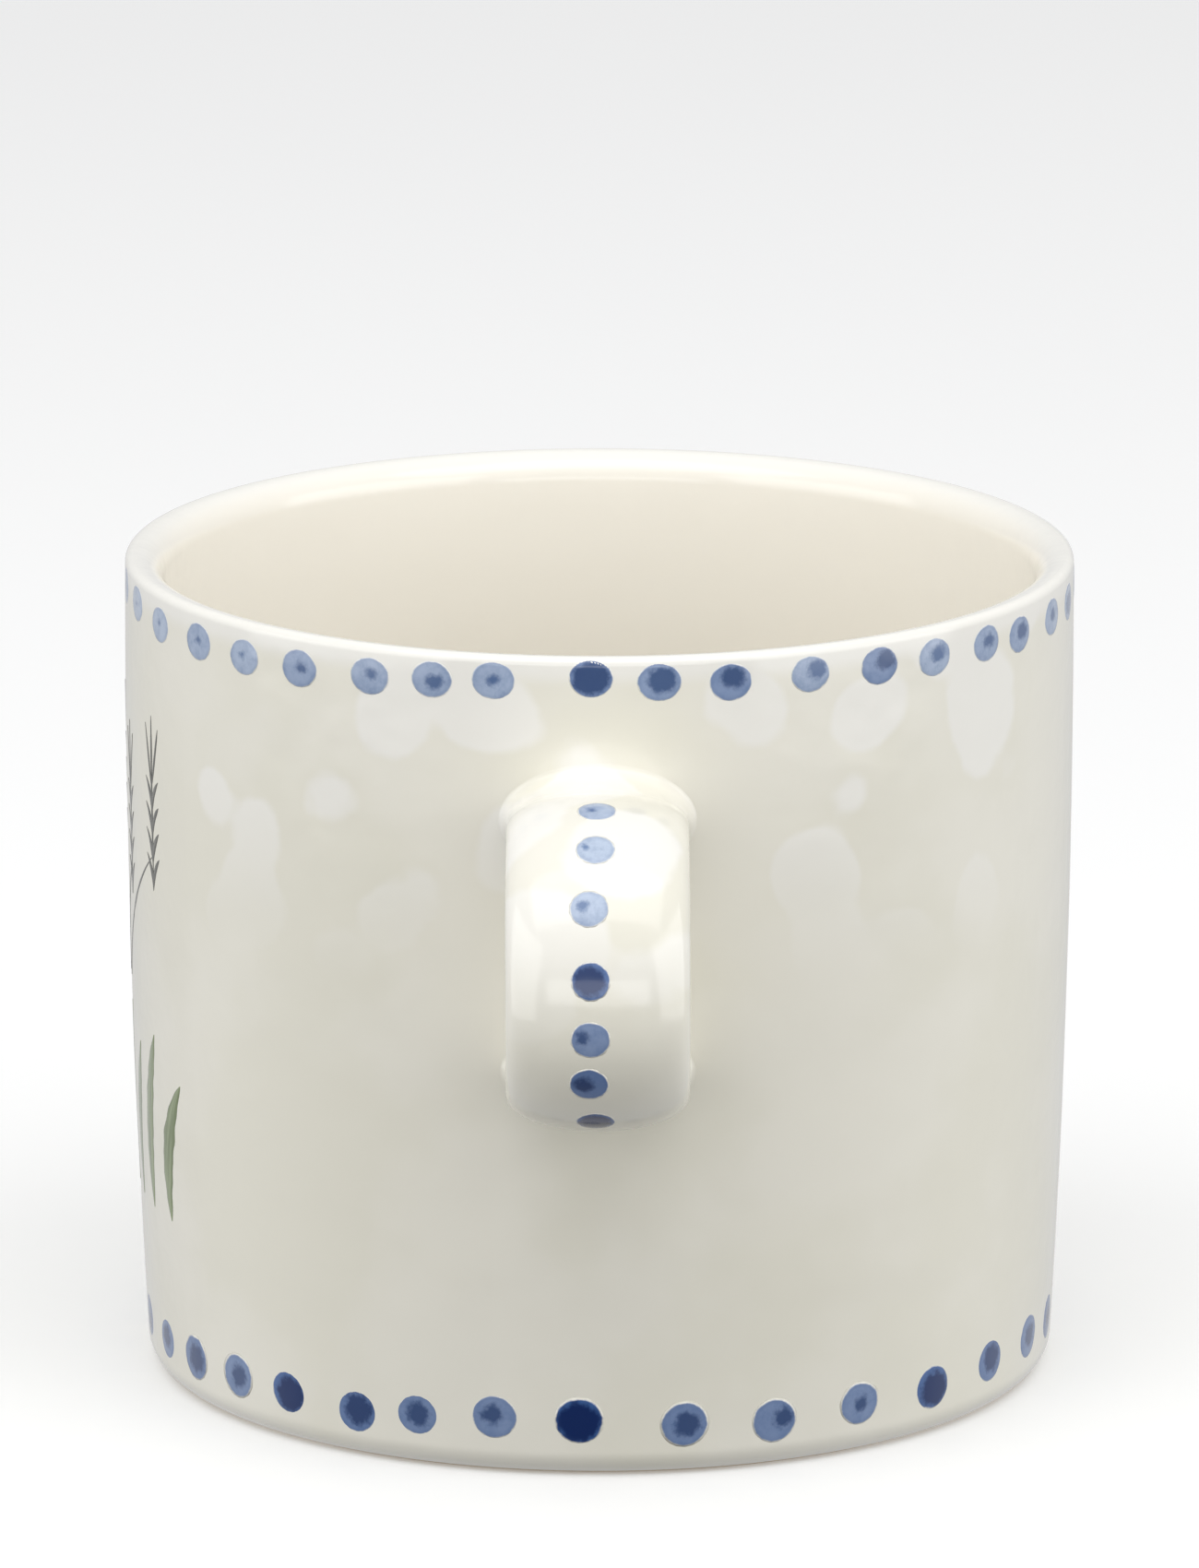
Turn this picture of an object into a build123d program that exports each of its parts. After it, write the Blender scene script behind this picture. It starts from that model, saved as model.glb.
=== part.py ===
from build123d import *
from itertools import accumulate
from math import copysign, cos, pi, radians, sin, tan
import os

# Hand-painted stoneware mug, in millimetres. The mug stands on the XY plane, its axis is Z,
# and its handle points along -Y. Its layers, from the inside out, are fired clay, glaze, and
# the painted marks. Azimuths are degrees from -Y, positive towards +X.

# ---- driving dimensions: cup ----
RIM_RADIUS = 45.0             # outside of the glaze at the rim
BELLY_RADIUS = 44.75          # the same, at half height
FOOT_RADIUS = 43.4            # the same, just above the rounded base edge
HEIGHT = 78.8                 # table to the top of the lip
LIP_OUTER_ROUND = 0.8         # the lip is two quarter rounds that meet at its crest
LIP_INNER_ROUND = 2.8
BASE_ROUND = 2.6              # rounded edge between the wall and the base
INNER_CORNER_RADIUS = 39.6    # inside of the glaze where the wall meets the floor's round
INNER_ROUND = 8.0             # round between the inside wall and the floor
FLOOR_TOP = 6.2               # drinking surface, above the table
FOOT_BARE_ANGLE = 60.0        # the outside glaze is wiped off beyond this turn of the base round
FOOT_RING_OUTER = 41.3        # flat, unglazed standing ring
FOOT_RING_INNER = 36.6
RECESS_SLOPE = 1.2            # width of the slope from the ring up into the recess
RECESS_DEPTH = 1.4
UNDERSIDE_GLAZE_RADIUS = 34.8

# ---- driving dimensions: layers ----
GLAZE = 0.35                  # fired glaze
SLIP = 0.4                    # joining slip between the cup and the handle
MARK = 0.1                    # painted marks

# ---- driving dimensions: handle ----
STRAP_WIDTH = 16.4            # outside the glaze
STRAP_THICKNESS = 6.8
STRAP_SQUARENESS = 2.1        # section: 2 is an ellipse, larger is squarer
STRAP_POINTS = 28             # points that carry the section's curve
HANDLE_REACH = 72.0           # axis of the mug to the outermost point of the handle
HANDLE_TOP_AT_WALL = 66.7     # top of the upper arm where it leaves the wall
HANDLE_TOP_RISE = 10.0        # degrees that the upper arm climbs outwards
HANDLE_BOTTOM_AT_WALL = 36.0  # underside of the lower arm where it meets the wall
HANDLE_BOTTOM_RISE = 9.0      # degrees that the lower arm climbs outwards
UPPER_BEND = 13.7             # centreline radius of the upper bend
LOWER_BEND = 9.0              # centreline radius of the lower bend
ROOT_FILLET = 1.4             # blend between the handle and the wall
PATCH_MARGIN = 3.6            # handle glaze on the wall around each root, beyond the strap
PATCH_ROUND = 6.5             # corner radius of that patch

# ---- driving dimensions: painted dots ----
RIM_DOT = (3.9, 3.35)         # width and height
RIM_DOT_HEIGHT = 76.1
RIM_DOT_FRONT = (-75, -66, -56, -47, -38, -28, -20, -12.5, -1, 7, 15.5, 25.5, 35, 43.5, 53, 60.5, 70.5)
RIM_DOTS_BEHIND = 24
FOOT_DOT = (4.0, 3.8)
FOOT_DOT_HEIGHT = 5.1
FOOT_DOT_FRONT = (-71, -61.5, -51.5, -42, -31.5, -23, -13, -2.5, 10.5, 22, 34, 46, 58, 69.5)
FOOT_DOTS_BEHIND = 20
HANDLE_DOT = 3.4
HANDLE_DOT_START = 13.5       # along the strap's outer line, from the wall to the first dot
HANDLE_DOT_STEPS = (6.0, 6.5, 6.6, 5.4, 4.7, 5.9)

# ---- driving dimensions: painted sprig on the -X side, across (towards -Y) and up ----
GROUND = 17.5                 # height of the leaves' feet
LEAF_WIDTH = 2.6
LEAVES = (                    # one half of the fan: foot across, sideways lean, length, bend
    (2.5, 0.8, 18.0, 0.8),
    (7.5, 1.8, 15.5, 1.2),
    (12.5, 2.2, 17.5, 1.4),
    (17.5, 3.0, 14.0, 1.6),
)
EAR_GROUND = 38.0             # height of the ink stems' feet
EARS = (                      # stem foot across, ear across, height of the tallest awn
    (-3.5, -16.0, 66.4),
    (-1.5, -7.5, 64.0),
    (0.0, 0.0, 67.5),
    (1.5, 7.5, 64.0),
    (3.5, 16.0, 66.4),
)
INK_WIDTH = 0.5
STEM_BEND = 0.1               # sideways bend of a stem, as a share of its lean
EAR_LENGTH = 10.0
EAR_GRAINS = 4                # pairs of grain strokes on each ear
GRAIN_WIDTH = 0.7
GRAIN_SPREAD = 1.6            # how far a grain stroke reaches sideways
GRAIN_RISE = 3.4              # and upwards
GRAIN_BEND = 0.4
AWN_LENGTH = 7.0

# ---- derived dimensions ----
LIP_CREST_RADIUS = RIM_RADIUS - LIP_OUTER_ROUND
LIP_INSIDE_RADIUS = LIP_CREST_RADIUS - LIP_INNER_ROUND
OUTER_LIP_CENTRE = (LIP_CREST_RADIUS, HEIGHT - LIP_OUTER_ROUND)
INNER_LIP_CENTRE = (LIP_CREST_RADIUS, HEIGHT - LIP_INNER_ROUND)
BASE_CENTRE = (FOOT_RADIUS - BASE_ROUND, BASE_ROUND)
FLOOR_CENTRE = (INNER_CORNER_RADIUS - INNER_ROUND, FLOOR_TOP + INNER_ROUND)
HALF_THICKNESS = STRAP_THICKNESS / 2
ARM_START = RIM_RADIUS - 4.0         # the strap's centreline starts inside the wall
WALL_CUT_DEPTH = 8.0                 # how far the tools that cut the wall's layers reach in
PROUD = 5.0                          # how far they stand out of the wall


# ---- profile helpers, in the (radius, height) plane ----
def on_round(centre, radius, turn):
    """Point on a round, turn degrees up from the outward direction."""
    return (centre[0] + radius * cos(radians(turn)), centre[1] + radius * sin(radians(turn)))


def round_edge(centre, radius, start, end):
    """Arc of a round between two turns."""
    turns = (start, (start + end) / 2, end)
    return ThreePointArc(*(on_round(centre, radius, turn) for turn in turns))


def straight_edges(*points):
    """Straight edges from each point to the next."""
    return [Line(start, end) for start, end in zip(points, points[1:])]


def outside_edges(depth, last_turn):
    """Outside of the mug from the lip's crest into the base round, depth below the glaze."""
    return [
        round_edge(OUTER_LIP_CENTRE, LIP_OUTER_ROUND - depth, 90, 0),
        ThreePointArc(
            (RIM_RADIUS - depth, HEIGHT - LIP_OUTER_ROUND),
            (BELLY_RADIUS - depth, HEIGHT / 2),
            (FOOT_RADIUS - depth, BASE_ROUND),
        ),
        round_edge(BASE_CENTRE, BASE_ROUND - depth, 0, -last_turn),
    ]


def inside_edges(depth):
    """Inside of the mug from the lip's crest to the middle of the floor, depth below the glaze."""
    return [
        round_edge(INNER_LIP_CENTRE, LIP_INNER_ROUND - depth, 90, 180),
        Line(
            (LIP_INSIDE_RADIUS + depth, HEIGHT - LIP_INNER_ROUND),
            (INNER_CORNER_RADIUS + depth, FLOOR_TOP + INNER_ROUND),
        ),
        round_edge(FLOOR_CENTRE, INNER_ROUND + depth, 0, -90),
        Line((FLOOR_CENTRE[0], FLOOR_TOP - depth), (0, FLOOR_TOP - depth)),
    ]


def revolved(edges):
    """Solid of revolution about Z from the edges of a closed profile."""
    return revolve(make_face(Plane.XZ * Curve(edges)), axis=Axis.Z)


def make_envelope(depth):
    """The mug's outside as a full solid, depth below the glaze (negative is above it)."""
    crest = (LIP_CREST_RADIUS, HEIGHT - depth)
    base = (BASE_CENTRE[0], depth)
    closing = straight_edges(base, (0, depth), (0, HEIGHT - depth), crest)
    return revolved(outside_edges(depth, 90) + closing)


# ---- the cup and the glaze on it ----
CREST_EDGE = straight_edges((LIP_CREST_RADIUS, HEIGHT - GLAZE), (LIP_CREST_RADIUS, HEIGHT))
WIPED_EDGE = straight_edges(
    on_round(BASE_CENTRE, BASE_ROUND - GLAZE, -FOOT_BARE_ANGLE),
    on_round(BASE_CENTRE, BASE_ROUND, -FOOT_BARE_ANGLE),
)


def make_clay_cup():
    """Wall, floor and standing ring, thrown in one piece of clay."""
    underside = straight_edges(
        on_round(BASE_CENTRE, BASE_ROUND, -FOOT_BARE_ANGLE),
        (FOOT_RING_OUTER, 0),
        (FOOT_RING_INNER, 0),
        (FOOT_RING_INNER - RECESS_SLOPE, RECESS_DEPTH),
        (0, RECESS_DEPTH),
        (0, FLOOR_TOP - GLAZE),
    )
    outside = outside_edges(GLAZE, FOOT_BARE_ANGLE)
    return revolved(outside + WIPED_EDGE + underside + inside_edges(GLAZE))


def make_outside_ring():
    """Glaze from the lip's crest to the wiped foot, before the handle's patches are cut out."""
    skin = outside_edges(0, FOOT_BARE_ANGLE)
    clay = outside_edges(GLAZE, FOOT_BARE_ANGLE)
    return revolved(CREST_EDGE + skin + WIPED_EDGE + clay)


def make_inside_glaze():
    """Glaze from the lip's crest down the inside and over the floor."""
    middle = straight_edges((0, FLOOR_TOP), (0, FLOOR_TOP - GLAZE))
    return revolved(CREST_EDGE + inside_edges(0) + middle + inside_edges(GLAZE))


def make_underside_glaze():
    """Glaze pool on the roof of the recess under the mug."""
    on_roof = (Align.CENTER, Align.CENTER, Align.MAX)
    return Pos(0, 0, RECESS_DEPTH) * Cylinder(UNDERSIDE_GLAZE_RADIUS, GLAZE, align=on_roof)


# ---- the handle ----
def strap_line(offset):
    """The strap's line in the YZ plane, offset outwards from its centreline."""
    top_slope = tan(radians(HANDLE_TOP_RISE))
    bottom_slope = tan(radians(HANDLE_BOTTOM_RISE))
    top_lean = 1 / cos(radians(HANDLE_TOP_RISE))
    bottom_lean = 1 / cos(radians(HANDLE_BOTTOM_RISE))
    front = HANDLE_REACH - HALF_THICKNESS + offset
    top = HANDLE_TOP_AT_WALL + (offset - HALF_THICKNESS) * top_lean
    bottom = HANDLE_BOTTOM_AT_WALL - (offset - HALF_THICKNESS) * bottom_lean
    corners = (
        (0, -ARM_START, top + (ARM_START - RIM_RADIUS) * top_slope),
        (0, -front, top + (front - RIM_RADIUS) * top_slope),
        (0, -front, bottom + (front - RIM_RADIUS) * bottom_slope),
        (0, -ARM_START, bottom + (ARM_START - RIM_RADIUS) * bottom_slope),
    )
    return FilletPolyline(*corners, radius=[UPPER_BEND + offset, LOWER_BEND + offset])


def signed_power(value, exponent):
    """A power that keeps the sign of its base."""
    return copysign(abs(value) ** exponent, value)


def make_strap(depth):
    """The strap, swept along its centreline, depth below the glaze (negative is above it)."""
    line = strap_line(0)
    exponent = 2 / STRAP_SQUARENESS
    outline = []
    for i in range(STRAP_POINTS):
        turn = 2 * pi * i / STRAP_POINTS
        across = (STRAP_WIDTH / 2 - depth) * signed_power(cos(turn), exponent)
        through = (HALF_THICKNESS - depth) * signed_power(sin(turn), exponent)
        outline.append((across, through))
    start = Plane(origin=line @ 0, x_dir=(1, 0, 0), z_dir=line % 0)
    return sweep(start * make_face(Spline(*outline, periodic=True)), path=line)


def is_root(edge):
    """True for an edge that runs round the strap where it leaves the wall."""
    at_wall = -RIM_RADIUS - 1 < edge.position_at(0.5).Y < -ARM_START + 1
    across_strap = STRAP_WIDTH / 2 < edge.bounding_box().size.X < STRAP_WIDTH + 1
    return at_wall and across_strap


def make_blended(depth):
    """Envelope and strap in one solid, with a round blend where they meet."""
    joined = make_envelope(depth) + make_strap(depth)
    return fillet(joined.edges().filter_by(is_root), ROOT_FILLET + depth)


def root_heights():
    """Heights at which the strap's centreline leaves the wall, upper then lower."""
    line = strap_line(0)
    arm_run = RIM_RADIUS - ARM_START
    top = (line @ 0).Z + arm_run * tan(radians(HANDLE_TOP_RISE))
    bottom = (line @ 1).Z + arm_run * tan(radians(HANDLE_BOTTOM_RISE))
    return top, bottom


def make_patch_block(height):
    """Block through the wall's glaze round one root, with rounded corners."""
    half_height = HALF_THICKNESS + PATCH_MARGIN
    outline = RectangleRounded(STRAP_WIDTH + 2 * PATCH_MARGIN, 2 * half_height, PATCH_ROUND)
    plane = Plane(origin=(0, -RIM_RADIUS - PROUD, height), x_dir=(1, 0, 0), z_dir=(0, 1, 0))
    return extrude(plane * outline, amount=PROUD + WALL_CUT_DEPTH)


def make_handle_pieces(outside_ring):
    """Clay handle, its two slip joints, its glaze, and the cup's glaze cut to fit round it."""
    clay_blend = make_blended(GLAZE)
    slip_zone = make_envelope(GLAZE - SLIP)
    beyond_cup = clay_blend - make_envelope(GLAZE)
    clay_handle = beyond_cup - slip_zone
    slips = (beyond_cup & slip_zone).solids().sort_by(Axis.Z)
    cup_glaze = outside_ring
    cup_bounds = make_envelope(0)
    for height in root_heights():
        patch = make_patch_block(height)
        cup_glaze -= patch
        cup_bounds -= patch
    handle_glaze = make_blended(0) - cup_bounds - clay_blend
    return {
        "clay_handle": clay_handle,
        "upper_slip_joint": slips[-1],
        "lower_slip_joint": slips[0],
        "handle_glaze": handle_glaze,
        "outside_glaze": cup_glaze,
    }


# ---- painted marks ----
def azimuths(front, behind):
    """The front's azimuths, then even steps round the back to the first of them again."""
    gap = (360 + front[0] - front[-1]) / (behind + 1)
    return list(front) + [front[-1] + gap * step for step in range(1, behind + 1)]


def make_dot_ring(skin, size, height, front, behind):
    """Dots of paint round the cup, each a thin lens on the glaze."""
    plane = Plane(origin=(0, -RIM_RADIUS - PROUD, height), x_dir=(1, 0, 0), z_dir=(0, 1, 0))
    spot = extrude(plane * Ellipse(size[0] / 2, size[1] / 2), amount=PROUD + WALL_CUT_DEPTH)
    dot = (skin & spot).solid()
    return [Rot(0, 0, azimuth) * dot for azimuth in azimuths(front, behind)]


def make_handle_dots():
    """Dots of paint down the outer line of the strap."""
    skin = make_strap(-MARK) - make_strap(0)
    line = strap_line(HALF_THICKNESS)
    first = (RIM_RADIUS - ARM_START) / cos(radians(HANDLE_TOP_RISE)) + HANDLE_DOT_START
    dots = []
    for distance in accumulate(HANDLE_DOT_STEPS, initial=first):
        along = line.tangent_at(distance, position_mode=PositionMode.LENGTH)
        outwards = Vector(0, along.Z, -along.Y)
        surface = line.position_at(distance, position_mode=PositionMode.LENGTH)
        start = Plane(origin=surface - outwards * HALF_THICKNESS / 2, x_dir=(1, 0, 0), z_dir=outwards)
        spot = extrude(start * Circle(HANDLE_DOT / 2), amount=STRAP_THICKNESS)
        dots.append((skin & spot).solid())
    return dots


def stroke(start, end, width, bend):
    """Brush stroke: pointed at both ends, width across its middle, bent sideways by bend."""
    along = Vector(*end) - Vector(*start)
    sideways = Vector(-along.Y, along.X).normalized()
    middle = (Vector(*start) + Vector(*end)) / 2 + sideways * bend
    left = ThreePointArc(start, middle + sideways * width / 2, end)
    right = ThreePointArc(start, middle - sideways * width / 2, end)
    return make_face(Curve([left, right]))


def side_relief(skin, strokes):
    """The strokes as thin solids on the cup's -X side, drawn across (towards -Y) and up."""
    facing = Plane(origin=(-RIM_RADIUS - PROUD, 0, 0), x_dir=(0, -1, 0), z_dir=(-1, 0, 0))
    outline = Sketch() + strokes
    return (skin & extrude(facing * outline, amount=-RIM_RADIUS / 2 - PROUD)).solids()


def make_leaves(skin):
    """Brush leaves that fan up from the ground line, alike to the left and the right."""
    leaves = [
        stroke((side * foot, GROUND), (side * (foot + lean), GROUND + length), LEAF_WIDTH, side * bend)
        for side in (-1, 1)
        for foot, lean, length, bend in LEAVES
    ]
    return side_relief(skin, leaves)


def make_ears(skin):
    """Ink stems, each with an ear of paired grain strokes and three long awns."""
    lines = []
    for foot, ear, height in EARS:
        crown = height - AWN_LENGTH
        base = crown - EAR_LENGTH
        stem_top = (ear, base + GRAIN_RISE)
        lines.append(stroke((foot, EAR_GROUND), stem_top, INK_WIDTH, (ear - foot) * STEM_BEND))
        lines.append(stroke((ear, base), (ear, crown + GRAIN_RISE), INK_WIDTH, 0))
        for grain in range(EAR_GRAINS):
            low = base + EAR_LENGTH * grain / EAR_GRAINS
            for side in (-1, 1):
                tip = (ear + side * GRAIN_SPREAD, low + GRAIN_RISE)
                lines.append(stroke((ear, low), tip, GRAIN_WIDTH, side * GRAIN_BEND))
        for side in (-1, 0, 1):
            tip = (ear + side * GRAIN_SPREAD, height - abs(side))
            lines.append(stroke((ear, crown), tip, INK_WIDTH, 0))
    return side_relief(skin, lines)


# ---- the parts ----
def make_parts():
    """Every node of the mug by name, each a solid or a group of separate solids."""
    skin = make_envelope(-MARK) - make_envelope(0)
    parts = {
        "clay_cup": make_clay_cup(),
        "inside_glaze": make_inside_glaze(),
        "underside_glaze": make_underside_glaze(),
    }
    parts.update(make_handle_pieces(make_outside_ring()))
    parts["rim_dots"] = make_dot_ring(skin, RIM_DOT, RIM_DOT_HEIGHT, RIM_DOT_FRONT, RIM_DOTS_BEHIND)
    parts["foot_dots"] = make_dot_ring(skin, FOOT_DOT, FOOT_DOT_HEIGHT, FOOT_DOT_FRONT, FOOT_DOTS_BEHIND)
    parts["handle_dots"] = make_handle_dots()
    parts["green_leaves"] = make_leaves(skin)
    parts["ink_ears"] = make_ears(skin)
    return parts


if __name__ == "__main__":
    os.makedirs("parts", exist_ok=True)
    for name, part in make_parts().items():
        solids = part if isinstance(part, list) else part.solids()
        whole = Compound(children=list(solids)) if len(solids) > 1 else solids[0]
        export_step(whole, f"parts/{name}.step")
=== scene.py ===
import math
import random

import bpy
import numpy as np
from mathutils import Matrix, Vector, noise


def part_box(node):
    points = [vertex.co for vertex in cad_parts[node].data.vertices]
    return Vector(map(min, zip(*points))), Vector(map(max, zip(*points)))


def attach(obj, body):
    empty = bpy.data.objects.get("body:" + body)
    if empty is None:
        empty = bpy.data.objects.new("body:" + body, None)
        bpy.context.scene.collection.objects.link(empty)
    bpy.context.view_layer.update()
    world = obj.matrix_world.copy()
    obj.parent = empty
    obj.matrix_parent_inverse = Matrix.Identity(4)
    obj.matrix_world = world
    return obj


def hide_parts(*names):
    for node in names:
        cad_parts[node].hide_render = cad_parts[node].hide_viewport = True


# The looks of a hand-painted stoneware mug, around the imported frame. Metres, +Z up, the handle
# points along -Y. Azimuths are radians from -Y, positive towards +X.

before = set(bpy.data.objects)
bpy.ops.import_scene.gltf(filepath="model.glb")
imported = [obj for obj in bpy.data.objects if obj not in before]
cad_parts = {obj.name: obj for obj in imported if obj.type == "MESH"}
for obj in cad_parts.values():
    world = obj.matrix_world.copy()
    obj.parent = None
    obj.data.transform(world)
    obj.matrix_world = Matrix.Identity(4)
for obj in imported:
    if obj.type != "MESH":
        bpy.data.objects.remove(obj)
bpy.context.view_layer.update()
MM = 0.001
random.seed(7)

# ---- the glazed cup's profile, the same as the frame's ----
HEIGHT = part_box("outside_glaze")[1].z
RIM_RADIUS = 45.0 * MM
BELLY_RADIUS = 44.75 * MM
FOOT_RADIUS = 43.4 * MM
LIP_OUTER_ROUND = 0.8 * MM
LIP_INNER_ROUND = 2.8 * MM
BASE_ROUND = 2.6 * MM
INNER_CORNER_RADIUS = 39.6 * MM
INNER_ROUND = 8.0 * MM
FLOOR_TOP = 6.2 * MM
GLAZE = 0.35 * MM
FOOT_BARE_ANGLE = math.radians(60)

# ---- the strap handle, the same as the frame's ----
STRAP_WIDTH = 16.4 * MM
HALF_THICKNESS = 3.4 * MM
STRAP_SQUARENESS = 2.1
HANDLE_REACH = -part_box("handle_glaze")[0].y
HANDLE_TOP_AT_WALL = 66.7 * MM
HANDLE_TOP_RISE = math.radians(10)
HANDLE_BOTTOM_AT_WALL = 36.0 * MM
HANDLE_BOTTOM_RISE = math.radians(9)
UPPER_BEND = 13.7 * MM
LOWER_BEND = 9.0 * MM
ARM_START = RIM_RADIUS - 4 * MM

# ---- the handle's own look: blends at its roots and a fuller left side ----
SIDE_FILLET = 0.8 * MM          # blend beside and under the strap
TOP_FILLET = 2.2 * MM           # blend on top of the upper root
TOP_FALLOFF = 1.5               # how fast the one on top shrinks towards the sides
ARM_REACH = 3.2                 # length of the upper blend along the arm, in its own heights
FOOT_SINK = 0.004 * MM          # the blend's foot lies this far under the wall's skin
SKIRT_WIDTH = 0.4 * MM          # beyond the foot, a hidden skirt dips further in
SKIRT_SINK = 0.06 * MM
ROOT_SINK = 1.6 * MM            # and the strap's closed end lies this deep
WALL_SEARCH = 9 * MM            # the strap's line meets the wall within this distance
LEFT_SWELL = 0.04

# ---- mesh density ----
CUP_COLUMNS = 360
WALL_ROWS = 64
ROUND_STEPS = 10
STRAP_COLUMNS = 72
STRAP_STEP = 0.6 * MM
FILLET_STEPS = 12
DOT_RINGS = 7
DOT_SPOKES = 40
UNDERSIDE_COLUMNS = 120
UNDERSIDE_RINGS = 12
STROKE_LANES = 6
STROKE_ROWS = 2.5               # rows of a brush stroke per millimetre
LEAST_STROKE_ROWS = 10
CUP_CREASE = 50                 # edges sharper than this many degrees stay crisp
STROKE_CREASE = 60

# ---- hand-made unevenness ----
WALL_WOBBLE = 0.07 * MM
SWELL_HEIGHT = 26 * MM          # size of the wall's slow swells, and of the ripples on them
RIPPLE_HEIGHT = 9 * MM
WOBBLE_FADE = 9 * MM            # the wobble dies away over this height at the lip and the foot
STRAP_WOBBLE = 0.05 * MM
STRAP_SWELL = 11 * MM
POOL_RIPPLE = 0.04 * MM         # unevenness of the glaze under the mug

# ---- layers of paint ----
PAINT_LIFT = 0.035 * MM         # a layer's middle stands out this far
PAINT_SINK = 0.012 * MM         # its edge lies this far under the glaze's skin
PAINT_BACK = 3 * PAINT_SINK     # and its hidden back at least this far
PAINT_EDGE = 0.9                # where a dot's colour ends, as a share of its layer's radius


def wall_radius(z):
    """Radius of the glazed wall at a height, a gentle curve through foot, belly and rim."""
    heights = (BASE_ROUND, HEIGHT / 2, HEIGHT - LIP_OUTER_ROUND)
    radii = (FOOT_RADIUS, BELLY_RADIUS, RIM_RADIUS)
    total = 0.0
    for i, radius in enumerate(radii):
        share = 1.0
        for j, height in enumerate(heights):
            if j != i:
                share *= (z - height) / (heights[i] - height)
        total += radius * share
    return total


def outside_radius(z):
    """Radius of the glazed outside at any height, with the rounds at the lip and the base."""
    if z > HEIGHT - LIP_OUTER_ROUND:
        rise = min(z - (HEIGHT - LIP_OUTER_ROUND), LIP_OUTER_ROUND)
        return RIM_RADIUS - LIP_OUTER_ROUND + math.sqrt(LIP_OUTER_ROUND**2 - rise**2)
    if z < BASE_ROUND:
        drop = min(BASE_ROUND - z, BASE_ROUND)
        return FOOT_RADIUS - BASE_ROUND + math.sqrt(BASE_ROUND**2 - drop**2)
    return wall_radius(z)


def wobble(azimuth, z):
    """How far the thrown and glazed wall stands out from its true curve, fading at both ends."""
    spot = Vector((2.2 * math.cos(azimuth), 2.2 * math.sin(azimuth), z / SWELL_HEIGHT))
    ripple = Vector((6 * math.cos(azimuth), 6 * math.sin(azimuth), z / RIPPLE_HEIGHT))
    amount = 0.75 * noise.noise(spot) + 0.25 * noise.noise(ripple)
    fade = min(1.0, max(0.0, (HEIGHT - z) / WOBBLE_FADE), max(0.0, z / WOBBLE_FADE))
    return WALL_WOBBLE * amount * fade


def on_wall(azimuth, z, lift=0.0):
    """Point on the glazed wall."""
    radius = outside_radius(z) + wobble(azimuth, z) + lift
    return Vector((radius * math.sin(azimuth), -radius * math.cos(azimuth), z))


def round_points(centre, radius, start, end, steps):
    """Points along a round in the (radius, height) plane, between two turns, ends included."""
    points = []
    for i in range(steps + 1):
        turn = start + (end - start) * i / steps
        points.append((centre[0] + radius * math.cos(turn), centre[1] + radius * math.sin(turn)))
    return points


def outside_profile(depth):
    """The outside from the wiped foot up to the lip's crest, depth under the glaze's skin."""
    base = (FOOT_RADIUS - BASE_ROUND, BASE_ROUND)
    lip = (RIM_RADIUS - LIP_OUTER_ROUND, HEIGHT - LIP_OUTER_ROUND)
    points = round_points(base, BASE_ROUND - depth, -FOOT_BARE_ANGLE, 0, ROUND_STEPS)
    rows = np.linspace(BASE_ROUND, HEIGHT - LIP_OUTER_ROUND, WALL_ROWS + 1)
    points += [(wall_radius(z) - depth, z) for z in rows[1:-1]]
    return points + round_points(lip, LIP_OUTER_ROUND - depth, 0, math.pi / 2, ROUND_STEPS)


def inside_profile(depth):
    """The inside from just past the lip's crest down to the floor's middle."""
    crest = RIM_RADIUS - LIP_OUTER_ROUND
    lip = (crest, HEIGHT - LIP_INNER_ROUND)
    corner = (INNER_CORNER_RADIUS - INNER_ROUND, FLOOR_TOP + INNER_ROUND)
    points = round_points(lip, LIP_INNER_ROUND - depth, math.pi / 2, math.pi, ROUND_STEPS)[1:]
    top, foot = points[-1], (INNER_CORNER_RADIUS + depth, corner[1])
    rows = WALL_ROWS // 2
    for i in range(1, rows):
        share = i / rows
        points.append((top[0] + (foot[0] - top[0]) * share, top[1] + (foot[1] - top[1]) * share))
    points += round_points(corner, INNER_ROUND + depth, 0, -math.pi / 2, 2 * ROUND_STEPS)
    rows = WALL_ROWS // 4
    for i in range(1, rows + 1):
        points.append((corner[0] * (1 - i / rows), FLOOR_TOP - depth))
    return points


# ---- mesh helpers ----
def new_piece(name, vertices, faces):
    """A smooth-shaded mesh object in the scene."""
    mesh = bpy.data.meshes.new(name)
    mesh.from_pydata([tuple(v) for v in vertices], [], faces)
    mesh.validate()
    mesh.shade_smooth()
    piece = bpy.data.objects.new(name, mesh)
    bpy.context.scene.collection.objects.link(piece)
    return piece


def band(first, second, columns):
    """Quads between two rings of vertices, given by the index of each ring's first vertex."""
    faces = []
    for i in range(columns):
        j = (i + 1) % columns
        faces.append((first + i, first + j, second + j, second + i))
    return faces


def mark_creases(piece, degrees):
    """Keeps edges sharper than the angle crisp under smooth shading."""
    bpy.context.view_layer.objects.active = piece
    piece.select_set(True)
    bpy.ops.object.shade_smooth_by_angle(angle=math.radians(degrees))
    piece.select_set(False)


def turn_around(profile, wobbled):
    """Rings of vertices for a profile turned about Z. A last point on the axis is one vertex."""
    vertices, rings = [], []
    for radius, z in profile:
        rings.append(len(vertices))
        if radius < 1e-6:
            vertices.append(Vector((0, 0, z)))
            continue
        for i in range(CUP_COLUMNS):
            azimuth = 2 * math.pi * i / CUP_COLUMNS
            reach = radius + (wobble(azimuth, z) if wobbled(radius) else 0.0)
            vertices.append(Vector((reach * math.sin(azimuth), -reach * math.cos(azimuth), z)))
    return vertices, rings


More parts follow.
